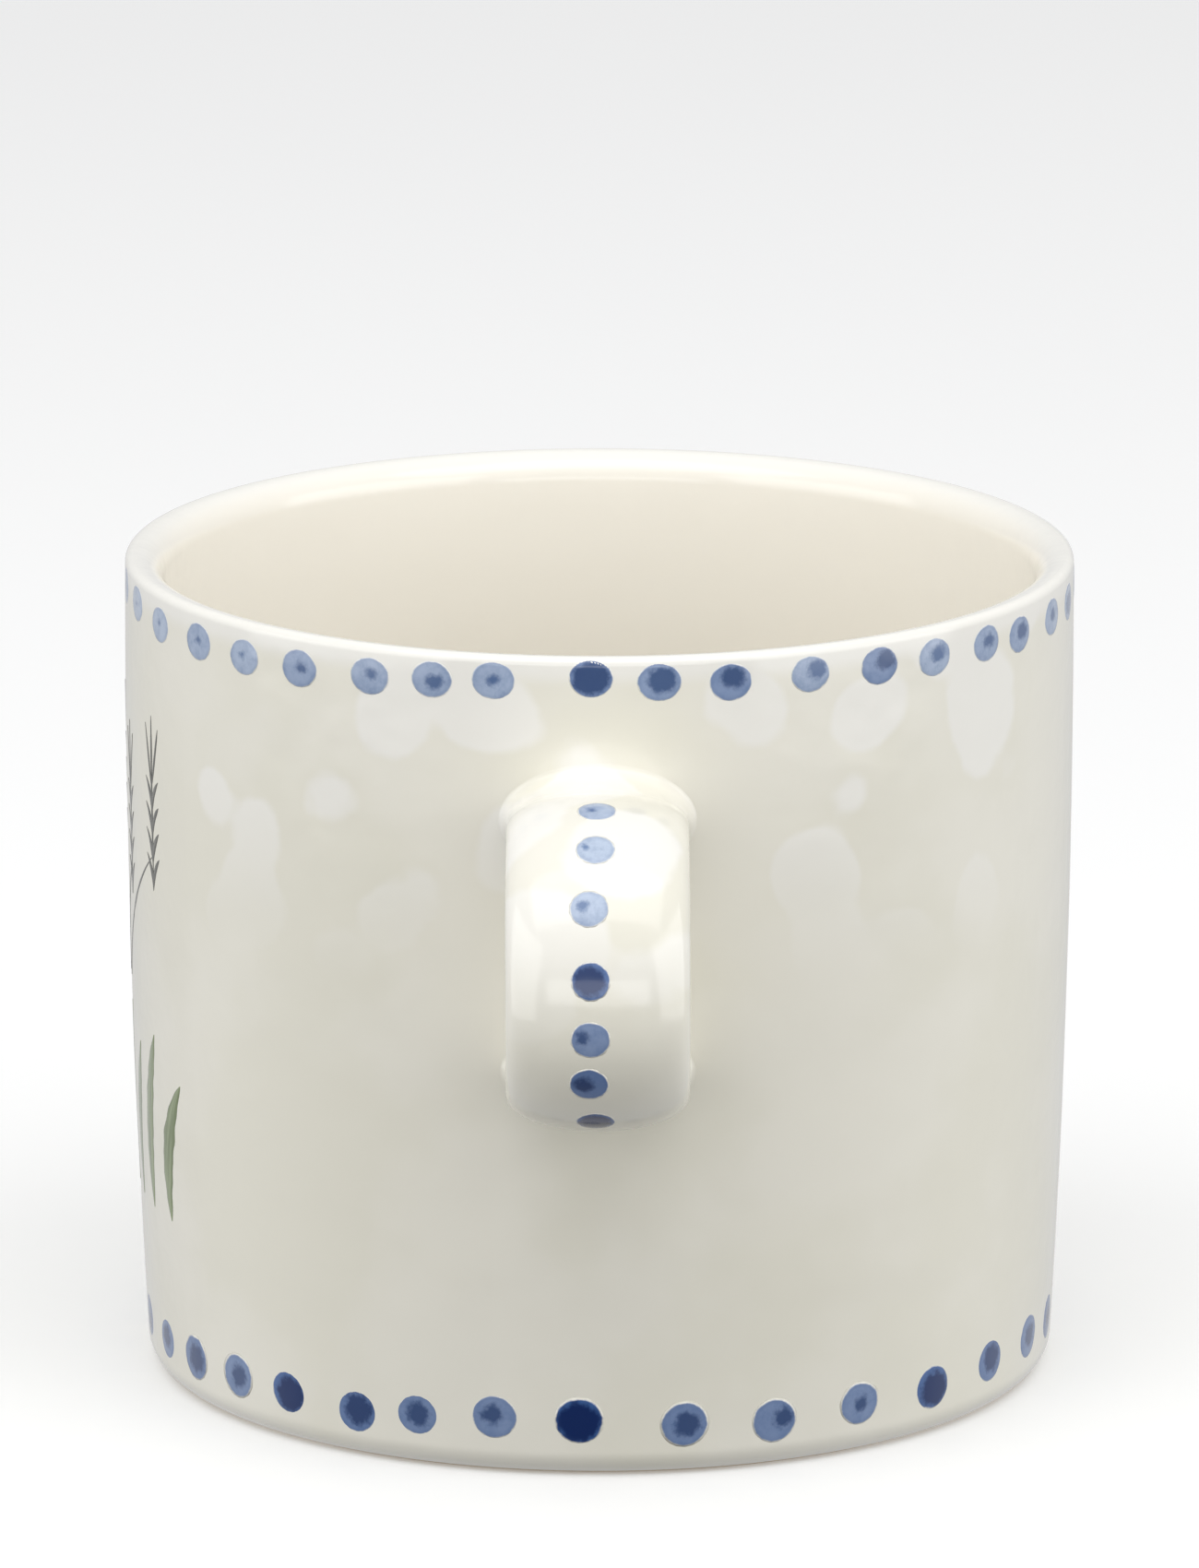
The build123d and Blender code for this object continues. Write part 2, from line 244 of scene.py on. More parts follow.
def make_glaze_coat():
    """The cup's glaze, one closed coat: outside, over the lip, inside, and back along the clay."""
    skin = outside_profile(0) + inside_profile(0)
    clay = (outside_profile(GLAZE) + inside_profile(GLAZE))[::-1]
    outer_limit = RIM_RADIUS - LIP_OUTER_ROUND - GLAZE / 2
    vertices, rings = turn_around(skin, lambda radius: radius > outer_limit)
    back, back_rings = turn_around(clay, lambda radius: False)
    rings += [len(vertices) + ring for ring in back_rings]
    vertices += back
    faces = []
    pole = len(skin) - 1
    for row in range(len(rings)):
        ring, following = rings[row], rings[(row + 1) % len(rings)]
        if row == pole:
            continue
        if row + 1 == pole:
            for i in range(CUP_COLUMNS):
                faces.append((ring + i, ring + (i + 1) % CUP_COLUMNS, following))
        elif row == pole + 1:
            for i in range(CUP_COLUMNS):
                faces.append((following + (i + 1) % CUP_COLUMNS, following + i, ring))
        else:
            faces += band(ring, following, CUP_COLUMNS)
    piece = new_piece("glaze_coat", vertices, faces)
    mark_creases(piece, CUP_CREASE)
    return piece


# ---- the handle ----
def strap_corners(offset):
    """Corners of the strap's line as (reach, height), offset outwards from its centreline."""
    start = ARM_START
    top_slope, bottom_slope = math.tan(HANDLE_TOP_RISE), math.tan(HANDLE_BOTTOM_RISE)
    front = HANDLE_REACH - HALF_THICKNESS + offset
    top = HANDLE_TOP_AT_WALL + (offset - HALF_THICKNESS) / math.cos(HANDLE_TOP_RISE)
    bottom = HANDLE_BOTTOM_AT_WALL - (offset - HALF_THICKNESS) / math.cos(HANDLE_BOTTOM_RISE)
    return [
        Vector((start, top + (start - RIM_RADIUS) * top_slope)),
        Vector((front, top + (front - RIM_RADIUS) * top_slope)),
        Vector((front, bottom + (front - RIM_RADIUS) * bottom_slope)),
        Vector((start, bottom + (start - RIM_RADIUS) * bottom_slope)),
    ]


class StrapLine:
    """The strap's centreline in the (reach, height) plane: straight arms and two bends."""

    def __init__(self):
        corners = strap_corners(0)
        self.pieces = []
        last = corners[0]
        for i, radius in ((1, UPPER_BEND), (2, LOWER_BEND)):
            before = (corners[i - 1] - corners[i]).normalized()
            after = (corners[i + 1] - corners[i]).normalized()
            half = before.angle(after) / 2
            reach = radius / math.tan(half)
            start, end = corners[i] + before * reach, corners[i] + after * reach
            centre = corners[i] + (before + after).normalized() * (radius / math.sin(half))
            self.add_line(last, start)
            turn = math.pi - 2 * half
            self.pieces.append({"centre": centre, "start": start, "turn": turn, "length": turn * radius})
            last = end
        self.add_line(last, corners[3])
        self.length = sum(piece["length"] for piece in self.pieces)

    def add_line(self, start, end):
        """Adds a straight stretch, which has no centre."""
        self.pieces.append({"centre": None, "start": start, "end": end, "length": (end - start).length})

    def at(self, distance):
        """Point and direction at a distance along the line."""
        for piece in self.pieces:
            if distance <= piece["length"] or piece is self.pieces[-1]:
                break
            distance -= piece["length"]
        if piece["centre"] is None:
            direction = (piece["end"] - piece["start"]).normalized()
            return piece["start"] + direction * distance, direction
        turn = -piece["turn"] * distance / piece["length"]
        arm = piece["start"] - piece["centre"]
        cosine, sine = math.cos(turn), math.sin(turn)
        arm = Vector((arm.x * cosine - arm.y * sine, arm.x * sine + arm.y * cosine))
        return piece["centre"] + arm, Vector((arm.y, -arm.x)).normalized()


STRAP = StrapLine()


def to_space(reach_height):
    """A point or direction of the handle's plane in the frame's axes."""
    return Vector((0, -reach_height.x, reach_height.y))


def strap_section(turn):
    """Across and outwards place of the strap's section at a turn round it."""
    power = 2 / STRAP_SQUARENESS
    cosine, sine = math.cos(turn), math.sin(turn)
    across = STRAP_WIDTH / 2 * math.copysign(abs(cosine) ** power, cosine)
    outwards = HALF_THICKNESS * math.copysign(abs(sine) ** power, sine)
    if across < 0:
        across *= 1 + LEFT_SWELL
    return across, outwards


def root_fillet(turn, end):
    """Height of the blend at a turn round a root: largest on top of the upper one, end 0."""
    upward = max(0.0, math.sin(turn)) if end == 0 else 0.0
    return SIDE_FILLET + (TOP_FILLET - SIDE_FILLET) * upward**TOP_FALLOFF


def strap_wobble(point):
    """How far the pulled strap stands out at a point, from a smooth seeded noise."""
    return STRAP_WOBBLE * noise.noise(point / STRAP_SWELL + Vector((3.1, 0, 0)))


def on_strap(distance, across, outwards):
    """Point in the strap's frame, before any unevenness."""
    place, direction = STRAP.at(distance)
    normal = Vector((-direction.y, direction.x))
    return to_space(place + normal * outwards) + Vector((across, 0, 0))


def section_normal(distance, turn):
    """Outward direction of the strap's section at a turn, in the frame's axes."""
    step = 1e-3
    across_a, out_a = strap_section(turn - step)
    across_b, out_b = strap_section(turn + step)
    _, direction = STRAP.at(distance)
    tangent = Vector((across_b - across_a, 0, 0))
    tangent += to_space(Vector((-direction.y, direction.x))) * (out_b - out_a)
    along = to_space(direction)
    normal = tangent.cross(along).normalized()
    centre = on_strap(distance, 0, 0)
    outer = on_strap(distance, *strap_section(turn))
    return normal if normal.dot(outer - centre) > 0 else -normal


def strap_point(distance, turn):
    """Point on the strap's glazed skin."""
    point = on_strap(distance, *strap_section(turn))
    return point + section_normal(distance, turn) * strap_wobble(point)


def to_wall(point, lift):
    """The wall's point at the same azimuth and height."""
    return on_wall(math.atan2(point.x, -point.y), point.z, lift)


def wall_reach(turn, end):
    """Distance along the strap's line at which the section's point at a turn meets the wall."""
    low, high = 0.0, WALL_SEARCH
    for _ in range(30):
        middle = (low + high) / 2
        point = on_strap(middle if end == 0 else STRAP.length - middle, *strap_section(turn))
        azimuth = math.atan2(point.x, -point.y)
        inside = math.hypot(point.x, point.y) < wall_radius(point.z) + wobble(azimuth, point.z)
        low, high = (middle, high) if inside else (low, middle)
    return (low + high) / 2


def root_rows(end):
    """Rings of the blend at one root, from inside the wall out to the plain strap."""
    weight = math.sqrt(0.5)
    rows = [[] for _ in range(FILLET_STEPS + 3)]
    for i in range(STRAP_COLUMNS):
        turn = 2 * math.pi * i / STRAP_COLUMNS
        reach = wall_reach(turn, end)
        foot_at = reach if end == 0 else STRAP.length - reach
        fillet = root_fillet(turn, end)
        top_at = foot_at + (ARM_REACH * fillet if end == 0 else -fillet)
        corner = on_strap(foot_at, *strap_section(turn))
        top = strap_point(top_at, turn)
        normal = section_normal(foot_at, turn)
        wall_normal = Vector((corner.x, corner.y, 0)).normalized()
        spread = (normal - wall_normal * normal.dot(wall_normal)).normalized()
        foot = to_wall(corner + spread * fillet, -FOOT_SINK)
        rows[0].append(to_wall(corner + spread * fillet, -ROOT_SINK))
        rows[1].append(to_wall(corner + spread * (fillet + SKIRT_WIDTH), -SKIRT_SINK))
        for step in range(FILLET_STEPS + 1):
            share = step / FILLET_STEPS
            near, mid, far = (1 - share) ** 2, 2 * share * (1 - share) * weight, share**2
            rows[2 + step].append((foot * near + corner * mid + top * far) / (near + mid + far))
    return rows


def make_handle_coat():
    """The glazed handle, one closed strap whose flared ends sink into the wall."""
    turns = [2 * math.pi * i / STRAP_COLUMNS for i in range(STRAP_COLUMNS)]
    start = max(wall_reach(turn, 0) for turn in turns)
    finish = max(wall_reach(turn, 1) for turn in turns)
    start += ARM_REACH * TOP_FILLET + STRAP_STEP
    finish = STRAP.length - finish - SIDE_FILLET - STRAP_STEP
    count = round((finish - start) / STRAP_STEP)
    rows = root_rows(0)
    for row in range(count + 1):
        distance = start + (finish - start) * row / count
        rows.append([strap_point(distance, turn) for turn in turns])
    rows += root_rows(1)[::-1]
    vertices = [point for row in rows for point in row]
    faces = []
    for row in range(len(rows) - 1):
        faces += band(row * STRAP_COLUMNS, (row + 1) * STRAP_COLUMNS, STRAP_COLUMNS)
    for row, flip in ((0, True), (len(rows) - 1, False)):
        ring = row * STRAP_COLUMNS
        vertices.append(sum(rows[row], Vector()) / STRAP_COLUMNS)
        for i in range(STRAP_COLUMNS):
            edge = (ring + i, ring + (i + 1) % STRAP_COLUMNS)
            faces.append((*(edge[::-1] if flip else edge), len(vertices) - 1))
    piece = new_piece("handle_coat", vertices, faces)
    mark_creases(piece, CUP_CREASE)
    return piece


def make_underside_coat():
    """The glaze under the mug, a thin slightly rippled disc with a soft rolled edge."""
    low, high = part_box("underside_glaze")
    radius, roll = high.x, (high.z - low.z) / 2
    columns, rings = UNDERSIDE_COLUMNS, UNDERSIDE_RINGS
    profile = [(radius * i / rings, low.z - POOL_RIPPLE * math.cos(i)) for i in range(1, rings)]
    profile += round_points((radius - roll, low.z + roll), roll, -math.pi / 2, math.pi / 2, 6)
    vertices = [Vector((0, 0, low.z - POOL_RIPPLE))]
    for reach, z in profile:
        for i in range(columns):
            azimuth = 2 * math.pi * i / columns
            vertices.append(Vector((reach * math.sin(azimuth), -reach * math.cos(azimuth), z)))
    faces = [(0, 1 + (i + 1) % columns, 1 + i) for i in range(columns)]
    for row in range(len(profile) - 1):
        faces += [face[::-1] for face in band(1 + row * columns, 1 + (row + 1) * columns, columns)]
    top = len(vertices)
    vertices.append(Vector((0, 0, high.z)))
    ring = 1 + (len(profile) - 1) * columns
    faces += [(ring + i, ring + (i + 1) % columns, top) for i in range(columns)]
    return new_piece("underside_coat", vertices, faces)


# ---- painted marks ----
def node_islands(node):
    """Middle of each separate solid of a frame node."""
    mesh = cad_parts[node].data
    corners = np.array([v.co for v in mesh.vertices])
    parent = list(range(len(corners)))

    def root(i):
        while parent[i] != i:
            parent[i] = parent[parent[i]]
            i = parent[i]
        return i

    seen = {}
    for i, corner in enumerate(corners):
        key = tuple(np.round(corner / (0.001 * MM)).astype(int))
        parent[root(i)] = root(seen.setdefault(key, i))
    for edge in mesh.edges:
        parent[root(edge.vertices[0])] = root(edge.vertices[1])
    groups = {}
    for i in range(len(corners)):
        groups.setdefault(root(i), []).append(i)
    middles = [(corners[group].min(0) + corners[group].max(0)) / 2 for group in groups.values()]
    return [Vector(middle) for middle in middles]


def lens_lift(share):
    """Height of a paint layer at a share of its way from the middle to the edge."""
    return -PAINT_SINK + (PAINT_LIFT + PAINT_SINK) * (1 - share**4)


def add_attribute(piece, name, values):
    """Stores one number per vertex."""
    attribute = piece.data.attributes.new(name, "FLOAT", "POINT")
    attribute.data.foreach_set("value", values)


def lens_index(first, side, ring, spoke):
    """Index of a lens's vertex. Its two sides share the outermost ring."""
    if side == -1 and ring == DOT_RINGS:
        side = 1
    start = first if side == 1 else first + 1 + DOT_RINGS * DOT_SPOKES
    return start if ring == 0 else start + 1 + (ring - 1) * DOT_SPOKES + spoke % DOT_SPOKES


def lens_spots(dot, place):
    """Vertices of one dot's lens, each with its place across and up as shares of the dot's size."""
    spots = []
    for side in (1, -1):
        for ring in range(DOT_RINGS + 1 if side == 1 else DOT_RINGS):
            share = ring / DOT_RINGS
            lift = lens_lift(share) if side == 1 else -PAINT_BACK * (2 - share)
            for spoke in range(1 if ring == 0 else DOT_SPOKES):
                turn = 2 * math.pi * spoke / DOT_SPOKES
                x, y = share * math.cos(turn), share * math.sin(turn)
                spots.append((place(dot, x * dot["half_width"], y * dot["half_height"], lift), x, y))
    return spots


def lens_faces(first):
    """Faces of one lens: on each side a fan in the middle, and quads out to the shared ring."""
    faces = []
    for side in (1, -1):
        for spoke in range(DOT_SPOKES):
            fan = ((0, 0), (1, spoke), (1, spoke + 1))
            faces.append(tuple(lens_index(first, side, *corner) for corner in fan)[::side])
            for ring in range(1, DOT_RINGS):
                quad = ((ring, spoke), (ring + 1, spoke), (ring + 1, spoke + 1), (ring, spoke + 1))
                faces.append(tuple(lens_index(first, side, *corner) for corner in quad)[::side])
    return faces


def make_dots(name, dots, place):
    """Paint dots as closed lenses. place(dot, across, up, lift) puts a point on its surface."""
    vertices, faces = [], []
    values = {key: [] for key in ("dot_x", "dot_y", "tone", "core_x", "core_y", "core_size")}
    for dot in dots:
        faces += lens_faces(len(vertices))
        for point, x, y in lens_spots(dot, place):
            vertices.append(point)
            for key, number in zip(values, (x, y, dot["tone"], *dot["core"], dot["core_size"])):
                values[key].append(number)
    piece = new_piece(name, vertices, faces)
    for key, numbers in values.items():
        add_attribute(piece, key, numbers)
    return piece


def place_on_wall(dot, across, up, lift):
    """A dot's point on the cup's wall."""
    azimuth = dot["azimuth"] + across / RIM_RADIUS
    return on_wall(azimuth, dot["z"] + up, lift)


def place_on_strap(dot, across, up, lift):
    """A dot's point on the outer face of the strap; up runs back along the strap."""
    x = dot["x"] + across
    share = min(1.0, abs(x) / (STRAP_WIDTH / 2 * (1 + LEFT_SWELL if x < 0 else 1)))
    turn = math.acos(math.copysign(share ** (STRAP_SQUARENESS / 2), x))
    distance = dot["distance"] - up / dot["stretch"]
    return strap_point(distance, turn) + section_normal(distance, turn) * lift


def ring_dots(node, half_size, front, first_azimuth, tones_behind):
    """Dots of one border: the front ones as given from left to right, the rest at random."""
    dots = []
    for middle in node_islands(node):
        dots.append({"azimuth": math.atan2(middle.x, -middle.y), "z": middle.z})
    dots.sort(key=lambda dot: dot["azimuth"])
    first = min(range(len(dots)), key=lambda i: abs(dots[i]["azimuth"] - first_azimuth))
    for i in range(len(dots)):
        dot = dots[(first + i) % len(dots)]
        if i < len(front):
            tone, core_x, core_y, core_size, shift = front[i]
        else:
            tone = random.choice(tones_behind)
            core_x, core_y = random.uniform(-0.35, 0.35), random.uniform(-0.35, 0.35)
            core_size, shift = random.uniform(0.25, 0.6), random.uniform(-0.5, 0.5)
        swell = 1 + 0.08 * (tone - 0.5) + random.uniform(-0.03, 0.03)
        dot.update(tone=tone, core=(core_x, core_y), core_size=core_size)
        dot["half_width"] = half_size[0] * swell / PAINT_EDGE
        dot["half_height"] = half_size[1] * swell / PAINT_EDGE
        dot["z"] += shift * MM
    return dots


RIM_DOT = (2.02 * MM, 1.74 * MM)        # half sizes, across and up
FOOT_DOT = (2.12 * MM, 2.0 * MM)
STRAP_DOT = 1.7 * MM
RIM_FIRST = math.radians(-75)           # azimuth of the leftmost dot of each list below
FOOT_FIRST = math.radians(-71)
RIM_BEHIND = (0.16, 0.25, 0.32, 0.4, 0.55, 0.8)
FOOT_BEHIND = (0.6, 0.66, 0.72, 0.8, 0.95)
# Tone from pale to dark, place of the dark core across and up, its size, and a shift up in
# millimetres.
RIM_FRONT = (
    (0.06, 0.0, 0.0, 0.10, 0.1),
    (0.12, 0.0, 0.1, 0.10, -0.4),
    (0.24, 0.0, 0.1, 0.20, -0.4),
    (0.18, -0.1, 0.1, 0.16, -0.55),
    (0.38, 0.15, 0.1, 0.26, -0.5),
    (0.28, 0.1, 0.15, 0.26, -0.2),
    (0.34, 0.1, -0.1, 0.38, 0.1),
    (0.28, 0.0, 0.0, 0.26, 0.4),
    (0.66, 0.0, 0.0, 0.80, 0.8),
    (0.50, 0.1, 0.1, 0.62, 0.4),
    (0.58, 0.1, 0.25, 0.55, 0.1),
    (0.24, 0.3, 0.2, 0.46, 0.2),
    (0.55, 0.3, 0.25, 0.50, 0.1),
    (0.20, 0.2, 0.2, 0.42, -0.1),
    (0.32, 0.2, 0.1, 0.36, -0.1),
    (0.36, 0.2, 0.1, 0.44, -0.4),
    (0.22, 0.1, 0.1, 0.30, -0.4),
)
FOOT_FRONT = (
    (0.66, 0.0, 0.1, 0.50, -0.1),
    (0.70, 0.1, 0.0, 0.60, -0.1),
    (0.62, 0.1, 0.0, 0.48, 0.0),
    (0.92, 0.1, -0.1, 0.74, 0.0),
    (0.78, 0.1, 0.1, 0.66, -0.4),
    (0.66, 0.05, 0.0, 0.52, 0.2),
    (0.62, -0.1, 0.1, 0.42, 0.6),
    (1.00, 0.0, -0.05, 0.82, 0.5),
    (0.68, 0.1, 0.0, 0.52, 0.0),
    (0.64, 0.4, 0.1, 0.44, -0.4),
    (0.60, 0.05, 0.0, 0.34, 0.0),
    (0.92, 0.1, -0.1, 0.74, -0.2),
    (0.74, 0.1, 0.1, 0.60, 0.3),
    (0.66, 0.1, 0.0, 0.50, 0.4),
)
# The same for the strap, top to bottom, but the last number is a shift across.
STRAP_FRONT = (
    (0.16, -0.25, 0.0, 0.22, -0.25),
    (0.02, -0.5, 0.2, 0.18, -0.35),
    (0.10, -0.30, 0.15, 0.28, -0.95),
    (0.86, -0.05, 0.0, 0.74, -0.80),
    (0.58, -0.40, 0.05, 0.34, -0.80),
    (0.80, -0.25, 0.0, 0.48, -0.95),
    (1.00, 0.0, 0.0, 0.80, -0.35),
)
STRAP_SEARCH = 600              # steps in which the strap is searched for its dots
STRETCH_STEP = 0.2 * MM


def strap_dots():
    """Dots down the strap, at the frame's places. Stretch is outer length per centreline length."""
    outer = []
    for i in range(STRAP_SEARCH + 1):
        distance = STRAP.length * i / STRAP_SEARCH
        outer.append((distance, on_strap(distance, 0, HALF_THICKNESS)))
    middles = node_islands("handle_dots")
    nearest = [min(outer, key=lambda pair: (pair[1] - middle).length)[0] for middle in middles]
    dots = []
    step = STRETCH_STEP
    for distance, (tone, core_x, core_y, core_size, shift) in zip(sorted(nearest), STRAP_FRONT):
        ahead = on_strap(distance + step, 0, HALF_THICKNESS)
        behind = on_strap(distance - step, 0, HALF_THICKNESS)
        dots.append({
            "distance": distance,
            "stretch": (ahead - behind).length / (2 * step),
            "x": shift * MM,
            "half_width": STRAP_DOT / PAINT_EDGE,
            "half_height": STRAP_DOT / PAINT_EDGE,
            "tone": tone,
            "core": (core_x, core_y),
            "core_size": core_size,
        })
    return dots


# ---- the painted sprig on the -X side, in plain millimetres: across is towards -Y ----
SPRIG_AZIMUTH = -math.pi / 2
LEAF_GROUND = 17.5
LEAF_WIDTH = 2.6
LEAVES = (                      # one half of the fan: foot across, sideways lean, length, bend
    (2.5, 0.8, 18.0, 0.8),
    (7.5, 1.8, 15.5, 1.2),
    (12.5, 2.2, 17.5, 1.4),
    (17.5, 3.0, 14.0, 1.6),
)
EAR_GROUND = 38.0
EARS = (                        # stem foot across, ear across, height of the tallest awn
    (-3.5, -16.0, 66.4),
    (-1.5, -7.5, 64.0),
    (0.0, 0.0, 67.5),
    (1.5, 7.5, 64.0),
    (3.5, 16.0, 66.4),
)
INK_WIDTH = 0.5
EAR_LENGTH = 10.0
EAR_GRAINS = 4
GRAIN_WIDTH = 0.7
GRAIN_SPREAD = 1.6
GRAIN_RISE = 3.4
GRAIN_BEND = 0.4
AWN_LENGTH = 7.0
STEM_BEND = 0.1                 # as a share of the stem's lean
LEAF_RAGGED = 0.25              # unevenness of a stroke's width
INK_RAGGED = 0.35
RAGGED_LENGTH = 1.5             # how far apart a stroke's swells are
STROKE_TIP = 0.06               # width at a stroke's tips, as a share


def leaf_strokes():
    """Start, end, width and sideways bend of each leaf, in millimetres across and up."""
    strokes = []
    for side in (-1, 1):
        for foot, lean, length, bend in LEAVES:
            start = (side * foot, LEAF_GROUND)
            end = (side * (foot + lean), LEAF_GROUND + length)
            strokes.append((start, end, LEAF_WIDTH, side * bend))
    return strokes


def ear_strokes():
    """The same for the ink: stems, ears with their grains, and awns."""
    strokes = []
    for foot, ear, height in EARS:
        crown = height - AWN_LENGTH
        base = crown - EAR_LENGTH
        stem_top = (ear, base + GRAIN_RISE)
        strokes.append(((foot, EAR_GROUND), stem_top, INK_WIDTH, (ear - foot) * STEM_BEND))
        strokes.append(((ear, base), (ear, crown + GRAIN_RISE), INK_WIDTH, 0))
        for grain in range(EAR_GRAINS):
            low = base + EAR_LENGTH * grain / EAR_GRAINS
            for side in (-1, 1):
                tip = (ear + side * GRAIN_SPREAD, low + GRAIN_RISE)
                strokes.append(((ear, low), tip, GRAIN_WIDTH, side * GRAIN_BEND))
        for side in (-1, 0, 1):
            tip = (ear + side * GRAIN_SPREAD, height - abs(side))
            strokes.append(((ear, crown), tip, INK_WIDTH, 0))
    return strokes


def sprig_place(across, up, lift):
    """A point of the flat drawing, seen along +X, put on the wall."""
    across, up = across * MM, up * MM
    azimuth = SPRIG_AZIMUTH + math.asin(across / outside_radius(up))
    return on_wall(azimuth, up, lift)


def make_strokes(name, strokes, ragged):
    """Brush strokes as closed, pointed ribbons of paint that follow the wall."""
    vertices, faces, along_values, side_values, seeds = ([] for _ in range(5))
    for start, end, width, bend in strokes:
        start, end = Vector(start), Vector(end)
        chord = end - start
        sideways = Vector((-chord.y, chord.x)).normalized()
        rows = max(LEAST_STROKE_ROWS, round(chord.length * STROKE_ROWS))
        lanes = STROKE_LANES
        first = len(vertices)
        seed = random.uniform(0, 100)
        for side in (1, -1):
            for row in range(rows + 1):
                share = row / rows
                swell = 4 * share * (1 - share)
                line = start + chord * share + sideways * bend * swell
                half = width / 2 * max(STROKE_TIP, swell**0.7)
                half *= 1 + ragged * noise.noise(Vector((seed, share * chord.length / RAGGED_LENGTH, 0)))
                for lane in range(lanes + 1):
                    across = 2 * lane / lanes - 1
                    spot = line + sideways * half * across
                    rise = lens_lift(abs(across)) if side == 1 else -PAINT_BACK
                    vertices.append(sprig_place(spot.x, spot.y, rise))
                    along_values.append(share)
                    side_values.append(across)
                    seeds.append(seed)
        wide = lanes + 1
        back = first + (rows + 1) * wide
        for row in range(rows):
            for lane in range(lanes):
                low = row * wide + lane
                quad = (low, low + 1, low + wide + 1, low + wide)
                faces.append(tuple(first + i for i in quad[::-1]))
                faces.append(tuple(back + i for i in quad))
        rim = list(range(wide))
        rim += [row * wide + lanes for row in range(1, rows + 1)]
        rim += [rows * wide + lane for lane in range(lanes - 1, -1, -1)]
        rim += [row * wide for row in range(rows - 1, 0, -1)]
        for i, here in enumerate(rim):
            there = rim[(i + 1) % len(rim)]
            faces.append((first + here, first + there, back + there, back + here))
    piece = new_piece(name, vertices, faces)
    add_attribute(piece, "along", along_values)
    add_attribute(piece, "side", side_values)
    add_attribute(piece, "seed", seeds)
    mark_creases(piece, STROKE_CREASE)
    return piece


# ---- materials ----
class Nodes:
    """A short way to build a material's node tree."""

    def __init__(self, name):
        self.material = bpy.data.materials.new(name)
        self.material.use_nodes = True
        self.tree = self.material.node_tree
        self.shader = self.tree.nodes["Principled BSDF"]

    def add(self, kind, **settings):
        """A new node with its settings."""
        node = self.tree.nodes.new(kind)
        for key, value in settings.items():
            setattr(node, key, value)
        return node

    def link(self, source, target):
        """Links an output to an input."""
        self.tree.links.new(source, target)

    def value(self, value, socket):
        """Links a socket, or sets a number, on an input."""
        if hasattr(value, "links"):
            self.link(value, socket)
        else:
            socket.default_value = value

    def math(self, operation, a, b=0.0):
        """One step of arithmetic."""
        node = self.add("ShaderNodeMath", operation=operation)
        self.value(a, node.inputs[0])
        self.value(b, node.inputs[1])
        return node.outputs[0]

    def ramp(self, value, low, high):
        """Smooth step from 0 at low to 1 at high."""
        node = self.add("ShaderNodeMapRange", interpolation_type="SMOOTHSTEP")
        for socket, number in zip(node.inputs, (value, low, high)):
            self.value(number, socket)
        return node.outputs[0]

    def mix(self, share, first, second):
        """Mixes two colours."""
        node = self.add("ShaderNodeMix", data_type="RGBA")
        self.value(share, node.inputs[0])
        self.value(first, node.inputs[6])
        self.value(second, node.inputs[7])
        return node.outputs[2]

    def noise(self, scale, detail=2.0, roughness=0.5, coordinates=None):
        """Noise in the object's own coordinates, scale per metre."""
        node = self.add("ShaderNodeTexNoise")
        node.inputs["Scale"].default_value = scale
        node.inputs["Detail"].default_value = detail
        node.inputs["Roughness"].default_value = roughness
        if coordinates is None:
            coordinates = self.add("ShaderNodeTexCoord").outputs["Object"]
        self.link(coordinates, node.inputs["Vector"])
        return node.outputs["Fac"]

    def attribute(self, name):
        """A number stored per vertex."""
        return self.add("ShaderNodeAttribute", attribute_name=name).outputs["Fac"]

    def bump(self, height, distance, strength=1.0):
        """Fine relief on the shader's normal."""
        node = self.add("ShaderNodeBump")
        node.inputs["Strength"].default_value = strength
        node.inputs["Distance"].default_value = distance
        self.link(height, node.inputs["Height"])
        self.link(node.outputs[0], self.shader.inputs["Normal"])


def srgb(red, green, blue):
    """A colour given as it looks on a screen, 0 to 255, in linear light."""
    linear = []
    for c in (red, green, blue):
        linear.append(((c / 255 + 0.055) / 1.055) ** 2.4 if c > 10 else c / 255 / 12.92)
    return (*linear, 1.0)


GLAZE_OUTSIDE = srgb(244, 241, 229)
GLAZE_POOLED = srgb(240, 237, 223)
# whiter glaze for the band under the lip, and the colour of the painted reflection patches
GLAZE_WHITER_AND_SHEEN = srgb(249, 247, 240)
GLAZE_INSIDE = srgb(248, 244, 234)
SHEEN_PATCH_HEIGHTS = (44 * MM, 66 * MM)      # painted reflection patches grow stronger between these heights
# the outside turns whiter towards the lip between these heights
LIP_WHITE_BAND = (HEIGHT - 3 * MM, HEIGHT - 1.2 * MM)
INSIDE_RADII = (43.3 * MM, 41.6 * MM)   # the colour turns to the inside's between these radii


